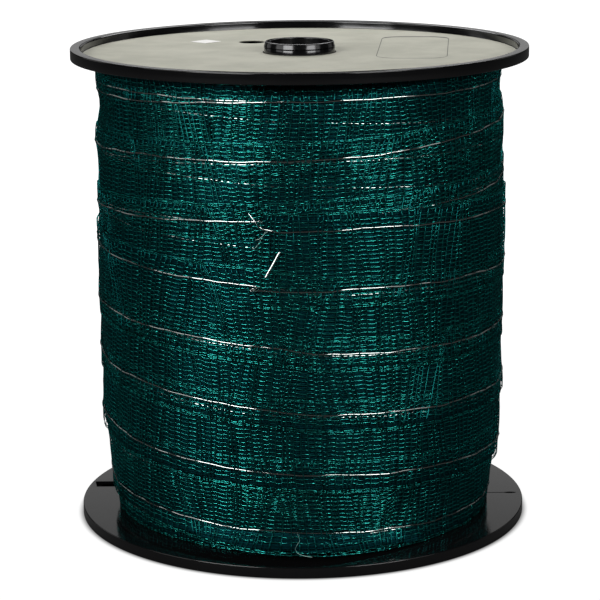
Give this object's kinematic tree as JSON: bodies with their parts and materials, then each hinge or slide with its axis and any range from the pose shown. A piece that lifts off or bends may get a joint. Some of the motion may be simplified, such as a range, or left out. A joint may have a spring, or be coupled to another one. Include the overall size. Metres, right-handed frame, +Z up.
{
  "type": "tape reel",
  "caption": "Black moulded reel, round flanges and hollow arbor, wound with a wide green woven netting tape that has bright steel wires running in it; blank paper disc on top.",
  "frame": {"origin": "on the reel's axis, in the plane of the bottom rim that it stands on", "axes": "+Z up along the reel's axis, -Y towards the side where the tape's cut end is, +X to the right seen from there"},
  "size_m": [0.2, 0.2, 0.212],
  "materials": {
    "flange_black": "glossy black injection moulding",
    "barrel_black": "plain black extruded tube",
    "arbor_black": "glossy black moulding with a polished land",
    "label_paper": "uncoated warm grey paper, faintly smudged",
    "sticker_paper": "plain white paper",
    "netting_dark": "deep layers of woven monofilament in shade",
    "netting_green": "woven glossy green monofilament",
    "wire_steel": "bright drawn steel wire"
  },
  "bodies": {
    "root": {"bottom_flange": "flange_black", "top_flange": "flange_black", "barrel": "barrel_black", "arbor_tube": "arbor_black", "arbor_lock_ring": "arbor_black", "top_label": "label_paper", "label_sticker": "sticker_paper", "inner_winding": "netting_dark", "under_tape": "netting_green", "outer_tape": "netting_green", "under_upper_wire": "wire_steel", "under_lower_wire": "wire_steel", "outer_upper_wire": "wire_steel", "outer_lower_wire": "wire_steel"}
  },
  "joints": []
}
